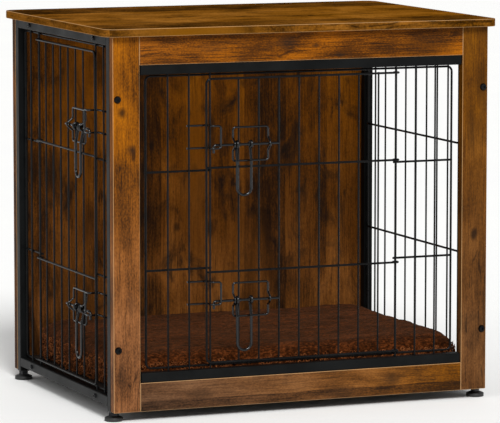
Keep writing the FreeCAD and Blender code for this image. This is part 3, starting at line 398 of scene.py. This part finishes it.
# The pad starts as a rounded box inside the CAD cushion, in metres. Lumps and tufts are noises laid
# over it, with their cell sizes and heights, and spare is how far it may stand out of the cushion.
cushionSizes = {
    "inset": 0.004, "outlinePower": 16, "bottomRound": 0.010, "topRound": 0.017,
    "aroundSteps": 240, "arcSteps": 9, "voxel": 0.006,
    "cloth": {"mass": 0.3, "tension_stiffness": 20, "compression_stiffness": 20, "bending_stiffness": 1.5,
              "quality": 5, "use_pressure": True, "uniform_pressure_force": 3.0},
    "frames": 18, "cap": 0.004, "lift": 0.0004, "sideSpare": 0.002, "topSpare": 0.006,
    "lumpSize": 0.06, "lumpHeight": 0.0022, "tuftSize": 0.009, "tuftHeight": 0.0011,
    "lumpSeed": 3, "tuftSeed": 5, "lattice": 64,
}


def valueNoise(points, cell, seed):
    # smooth random value in -1..1: random numbers on a lattice of this cell size, blended
    # with a smoothstep along the three axes
    count = cushionSizes["lattice"]
    lattice = np.random.default_rng(seed).uniform(-1, 1, (count, count, count))
    scaled = points / cell
    base = np.floor(scaled).astype(int)
    part = scaled - base
    part = part * part * (3 - 2 * part)
    total = np.zeros(len(points))
    for corner in np.ndindex(2, 2, 2):
        index = (base + corner) % count
        weight = np.prod(np.where(np.array(corner) == 1, part, 1 - part), axis=1)
        total += weight * lattice[index[:, 0], index[:, 1], index[:, 2]]
    return total


def gridFaces(rows, columns):
    # quads between neighbouring rows, where the last column joins the first
    row, column = np.meshgrid(np.arange(rows - 1), np.arange(columns), indexing="ij")
    following = (column + 1) % columns
    return np.stack([row * columns + column, row * columns + following,
                     (row + 1) * columns + following, (row + 1) * columns + column], -1).reshape(-1, 4)


def meshObject(name, points, faces):
    mesh = bpy.data.meshes.new(name)
    mesh.from_pydata(points.tolist(), [], faces)
    mesh.validate()
    obj = bpy.data.objects.new(name, mesh)
    bpy.context.scene.collection.objects.link(obj)
    return obj


def readPoints(values, key):  # a vector of each vertex, as rows
    rows = np.empty(len(values) * 3)
    values.foreach_get(key, rows)
    return rows.reshape(-1, 3)


def writePoints(mesh, points):
    mesh.vertices.foreach_set("co", points.astype(np.float32).ravel())
    mesh.update()


def signedPower(value, power):
    return np.sign(value) * np.abs(value) ** power


def cushionBlank(low, high):
    # a rounded box: rings of one superellipse outline, drawn in by quarter circles at the bottom
    # and top edges, and closed at a point in the middle of each face
    size = cushionSizes
    columns = size["aroundSteps"]
    around = np.linspace(0, 2 * np.pi, columns, endpoint=False)
    quarter = np.linspace(0, np.pi / 2, size["arcSteps"])
    half = (high - low) / 2 - size["inset"] * np.array([1, 1, 0])
    middle = (high + low) / 2
    outline = np.stack([signedPower(np.cos(around), 2 / size["outlinePower"]),
                        signedPower(np.sin(around), 2 / size["outlinePower"])], -1)
    drawnIn = np.concatenate([size["bottomRound"] * (1 - np.sin(quarter)),
                              size["topRound"] * (1 - np.cos(quarter))])
    rise = np.concatenate([size["bottomRound"] * (1 - np.cos(quarter)) - half[2],
                           half[2] - size["topRound"] * (1 - np.sin(quarter))])
    plan = outline[None] * (half[:2] - drawnIn[:, None])[:, None]
    height = np.broadcast_to(rise[:, None, None], (*plan.shape[:2], 1))
    rings = (np.concatenate([plan, height], -1) + middle).reshape(-1, 3)
    poles = np.array([middle - [0, 0, half[2]], middle + [0, 0, half[2]]])
    count = len(rings)
    first = np.arange(columns)
    following = (first + 1) % columns
    last = count - columns
    bottomFan = np.stack([np.full(columns, count), following, first], -1)
    topFan = np.stack([last + first, last + following, np.full(columns, count + 1)], -1)
    faces = gridFaces(len(rise), columns).tolist() + bottomFan.tolist() + topFan.tolist()
    return meshObject("cushion_pad", np.concatenate([rings, poles]), faces)


def applyModifiers(obj):
    shown = obj.evaluated_get(bpy.context.evaluated_depsgraph_get())
    mesh = bpy.data.meshes.new_from_object(shown)
    obj.modifiers.clear()
    obj.data = mesh
    return mesh


def inflate(obj):
    # the pad swells under pressure without gravity, and no point moves further than the cap
    size = cushionSizes
    before = readPoints(obj.data.vertices, "co")
    cloth = obj.modifiers.new("Filling", "CLOTH")
    for key, value in size["cloth"].items():
        setattr(cloth.settings, key, value)
    cloth.settings.effector_weights.gravity = 0
    cloth.point_cache.frame_start = 1
    cloth.point_cache.frame_end = size["frames"]
    for step in range(1, size["frames"] + 1):
        bpy.context.scene.frame_set(step)
    mesh = applyModifiers(obj)
    bpy.context.scene.frame_set(1)
    moved = readPoints(mesh.vertices, "co") - before
    distance = np.linalg.norm(moved, axis=1, keepdims=True)
    writePoints(mesh, before + moved * np.minimum(1, size["cap"] / np.maximum(distance, 1e-9)))


def shapeCushion(low, high):
    # the blank is remeshed evenly, inflated and subdivided, and the noises push it along its normals
    size = cushionSizes
    pad = cushionBlank(low, high)
    remesh = pad.modifiers.new("Even", "REMESH")
    remesh.mode = "VOXEL"
    remesh.voxel_size = size["voxel"]
    applyModifiers(pad)
    inflate(pad)
    smooth = pad.modifiers.new("Smooth", "SUBSURF")
    smooth.levels = smooth.render_levels = 1
    mesh = applyModifiers(pad)
    points = readPoints(mesh.vertices, "co")
    normals = readPoints(mesh.vertices, "normal")
    swell = (valueNoise(points, size["lumpSize"], size["lumpSeed"]) * size["lumpHeight"]
             + valueNoise(points, size["tuftSize"], size["tuftSeed"]) * size["tuftHeight"])
    points += normals * swell[:, None]
    points[:, 2] = np.maximum(points[:, 2], low[2] + size["lift"])
    side, top = size["sideSpare"], size["topSpare"]
    points = np.clip(points, low - [side, side, 0], high + [side, side, top])
    writePoints(mesh, points)
    mesh.polygons.foreach_set("use_smooth", np.ones(len(mesh.polygons), bool))
    return pad, points, normals


# Both fabrics: noises as (size in millimetres along X, Y and Z, detail, roughness, distortion),
# their shares of the shade and of the relief, and the shade from the roots to the tips. The real
# fibres are 0.05 mm, so tufts and threads are drawn at 1.3 to 5 mm, as coarse as needed to show.
fabrics = {
    # short-pile polyester plush, brushed: the pile lies in soft swathes, so the shade drifts, with
    # fine tufts and a slight sheen where the fibres turn to the light
    "brushedPlush": {
        "settings": {"Roughness": 0.95, "IOR": 1.45, "Specular IOR Level": 0.05, "Sheen Weight": 0.1,
                     "Sheen Roughness": 0.5, "Sheen Tint": colour("#b98a66")},
        "noises": [((80, 26, 60), 4, 0.6, 1.2), ((5, 2.6, 4), 4, 0.7, 0), ((3.2, 1.3, 2), 2, 0.6, 0)],
        "shadeShares": (0.3, 0.7, 0), "reliefShares": (0, 1, 0.5),
        "relief": {"Strength": 0.9, "Distance": 0.0016},
        "stops": [(0.38, "#150802"), (0.5, "#361805"), (0.62, "#643315")]},
    # curly polyester fleece, tumbled: matt fibres in darker and lighter clumps; the lightest shade is partly
    # a painted highlight
    "curlyFleece": {
        "settings": {"Roughness": 0.9, "IOR": 1.45, "Specular IOR Level": 0.05, "Sheen Weight": 0.25,
                     "Sheen Roughness": 0.4, "Sheen Tint": colour("#c08a5f")},
        "noises": [((14, 14, 14), 3, 0.6, 0), ((1.4, 1.4, 1.4), 2, 0.6, 0)],
        "shadeShares": (0.6, 0.4), "reliefShares": (0, 1), "relief": {"Strength": 0.8, "Distance": 0.0006},
        "stops": [(0.34, "#371b0b"), (0.5, "#64361a"), (0.66, "#8f5730")]},
}


def fabricMaterial(name):
    # the shade and the relief are each a sum of the noises, times their shares
    fabric = fabrics[name]
    material, tree, place = startMaterial(name)
    shade = height = 0
    for (size, detail, roughness, distortion), shadeShare, reliefShare in zip(
            fabric["noises"], fabric["shadeShares"], fabric["reliefShares"]):
        cells = addNode(tree, "VectorMath", {"operation": "MULTIPLY", 0: place,
                                             1: [per(length) for length in size]}).outputs[0]
        noise = addNode(tree, "TexNoise", {"Vector": cells, "Scale": 1, "Detail": detail,
                                           "Roughness": roughness, "Distortion": distortion}).outputs[0]
        if shadeShare:
            shade = addNode(tree, "Math", {"operation": "MULTIPLY_ADD", 0: noise, 1: shadeShare,
                                           2: shade}).outputs[0]
        if reliefShare:
            height = addNode(tree, "Math", {"operation": "MULTIPLY_ADD", 0: noise, 1: reliefShare,
                                            2: height}).outputs[0]
    shade = addNode(tree, "ValToRGB", {0: shade, "stops": fabric["stops"]}).outputs[0]
    relief = addNode(tree, "Bump", {**fabric["relief"], "Height": height}).outputs[0]
    finishMaterial(tree, {**fabric["settings"], "Base Color": shade, "Normal": relief})
    return material


# The curls on the cushion's sides, in metres: the band of heights they grow in, how upright the
# pad may be turned there, how far they stand off, and a curl's radius, turns and thickness.
fleeceSizes = {
    "curls": 2300, "lowest": 0.0385, "highest": 0.079, "sideways": 0.55, "seed": 11,
    "scatter": 0.0012, "lean": 0.35, "lift": 0.1, "stand": (0.003, 0.0065), "rooted": 0.2, "droop": 0.25,
    "curlRadius": (0.0016, 0.0034), "turns": (0.9, 1.6), "strand": 0.00095, "taper": 0.45,
    "steps": 9, "sides": 4, "floorSpare": 0.001,
}


def fleeceCurls(points, normals):
    # each curl is a corkscrew: its path turns round a pad normal while it stands off from the
    # pad, and a small square section is carried along the path, all curls in one array
    size = fleeceSizes
    count = size["curls"]
    random = np.random.default_rng(size["seed"])
    onSide = ((np.abs(normals[:, 2]) < size["sideways"]) & (points[:, 2] > size["lowest"])
              & (points[:, 2] < size["highest"]))
    chosen = random.choice(np.flatnonzero(onSide), count, replace=onSide.sum() < count)
    base = points[chosen] + random.normal(0, size["scatter"], (count, 3))
    away = normals[chosen] + random.normal(0, size["lean"], (count, 3))
    away[:, 2] += size["lift"]
    away /= np.linalg.norm(away, axis=1, keepdims=True)
    first = np.cross(away, random.normal(0, 1, (count, 3)))
    first /= np.linalg.norm(first, axis=1, keepdims=True)
    second = np.cross(away, first)
    along = np.linspace(0, 1, size["steps"])[None, :, None]
    stand = random.uniform(*size["stand"], (count, 1, 1))
    radius = random.uniform(*size["curlRadius"], (count, 1, 1)) * (0.5 + 0.5 * along)
    angle = 2 * np.pi * (random.uniform(*size["turns"], (count, 1, 1)) * along
                         + random.uniform(0, 1, (count, 1, 1)))
    droop = size["droop"]
    risen = stand * ((1 + droop) * along - droop * along ** 2 - size["rooted"])
    path = (base[:, None] + away[:, None] * risen
            + first[:, None] * radius * np.cos(angle) + second[:, None] * radius * np.sin(angle))
    heading = np.gradient(path, axis=1)
    heading /= np.linalg.norm(heading, axis=2, keepdims=True)
    sideways = np.cross(heading, away[:, None])
    sideways /= np.linalg.norm(sideways, axis=2, keepdims=True) + 1e-9
    upwards = np.cross(heading, sideways)
    spin = (2 * np.pi * np.arange(size["sides"]) / size["sides"])[None, None, :, None]
    thick = size["strand"] * (1 - size["taper"] * along ** 3)[..., None]
    rings = path[:, :, None] + thick * (sideways[:, :, None] * np.cos(spin)
                                        + upwards[:, :, None] * np.sin(spin))
    rings[..., 2] = np.maximum(rings[..., 2], size["lowest"] - size["floorSpare"])
    perCurl = size["steps"] * size["sides"]
    faces = gridFaces(size["steps"], size["sides"])[:, ::-1]
    tip = np.arange(size["sides"]) + perCurl - size["sides"]
    faces = np.concatenate([faces, tip[None, ::-1], np.arange(size["sides"])[None]])
    allFaces = (np.arange(count)[:, None, None] * perCurl + faces[None]).reshape(-1, 4)
    curls = meshObject("cushion_fleece", rings.reshape(-1, 3), allFaces.tolist())
    curls.data.polygons.foreach_set("use_smooth", np.ones(len(curls.data.polygons), bool))
    return curls


cushionLow, cushionHigh = (np.array(corner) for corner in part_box("cushion"))
pad, padPoints, padNormals = shapeCushion(cushionLow, cushionHigh)
pad.data.materials.append(fabricMaterial("brushedPlush"))
fleece = fleeceCurls(padPoints, padNormals)
fleece.data.materials.append(fabricMaterial("curlyFleece"))
for piece in (pad, fleece):
    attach(piece, "cabinet")
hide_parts("cushion")
print("cushion filled:", len(pad.data.polygons), "faces, top at", round(padPoints[:, 2].max(), 4),
      "m, fleece", len(fleece.data.polygons), "faces")

# The floor's half width in metres, its two shades with the size of their patches in millimetres,
# the sky's light, and two soft suns with where they stand, their strength and softness in degrees.
studio = {
    "floorReach": 40, "floorShades": [(0.3, "#f6f6f5"), (0.7, "#f8f8f6")], "floorPatch": 400,
    "floorRough": 0.7,
    "world": "#ffffff", "worldStrength": 0.38,
    "suns": {"key": ((-0.12, -0.8, 0.72), 3.1, 24), "fill": ((-0.8, -0.25, 0.5), 0.55, 50)},
}


def paleFloorMaterial():
    # painted studio floor, matt: nearly even, so that it takes only the shadows
    material, tree, place = startMaterial("paleFloor")
    patches = addNode(tree, "TexNoise", {"Vector": place, "Scale": per(studio["floorPatch"]), "Detail": 2,
                                         "Roughness": 0.55}).outputs[0]
    shade = addNode(tree, "ValToRGB", {0: patches, "stops": studio["floorShades"]}).outputs[0]
    finishMaterial(tree, {"Roughness": studio["floorRough"], "Base Color": shade})
    return material


floorCorners = np.array([[-1, -1, 0], [1, -1, 0], [1, 1, 0], [-1, 1, 0]], float)
floor = meshObject("studio_floor", floorCorners * studio["floorReach"], [[0, 1, 2, 3]])
floor.data.materials.append(paleFloorMaterial())

world = bpy.data.worlds.new("studio")
bpy.context.scene.world = world
world.use_nodes = True
background = world.node_tree.nodes["Background"]
background.inputs["Color"].default_value = colour(studio["world"])
background.inputs["Strength"].default_value = studio["worldStrength"]
for name, (place, strength, softness) in studio["suns"].items():
    light = bpy.data.lights.new(name, "SUN")
    light.energy = strength
    light.angle = math.radians(softness)
    sun = bpy.data.objects.new(name, light)
    sun.rotation_euler = Vector(place).to_track_quat("Z", "Y").to_euler()
    bpy.context.scene.collection.objects.link(sun)

# the camera's place in metres, its turn from +Y and its slope in degrees, and its lens in millimetres
view = {"place": (-2.2727, -5.6101, 1.0043), "turn": 22.1, "down": 6.78, "lens": 274.8, "sensor": 36,
        "farthest": 200}
camera = bpy.data.objects.new("camera", bpy.data.cameras.new("camera"))
bpy.context.scene.collection.objects.link(camera)
turn, down = math.radians(view["turn"]), math.radians(view["down"])
heading = Vector((math.sin(turn) * math.cos(down), math.cos(turn) * math.cos(down), -math.sin(down)))
camera.location = view["place"]
camera.rotation_euler = heading.to_track_quat("-Z", "Y").to_euler()
camera.data.lens = view["lens"]
camera.data.sensor_width = view["sensor"]
camera.data.clip_end = view["farthest"]
bpy.context.scene.camera = camera
bpy.context.scene.view_settings.view_transform = "Standard"
print("studio set")
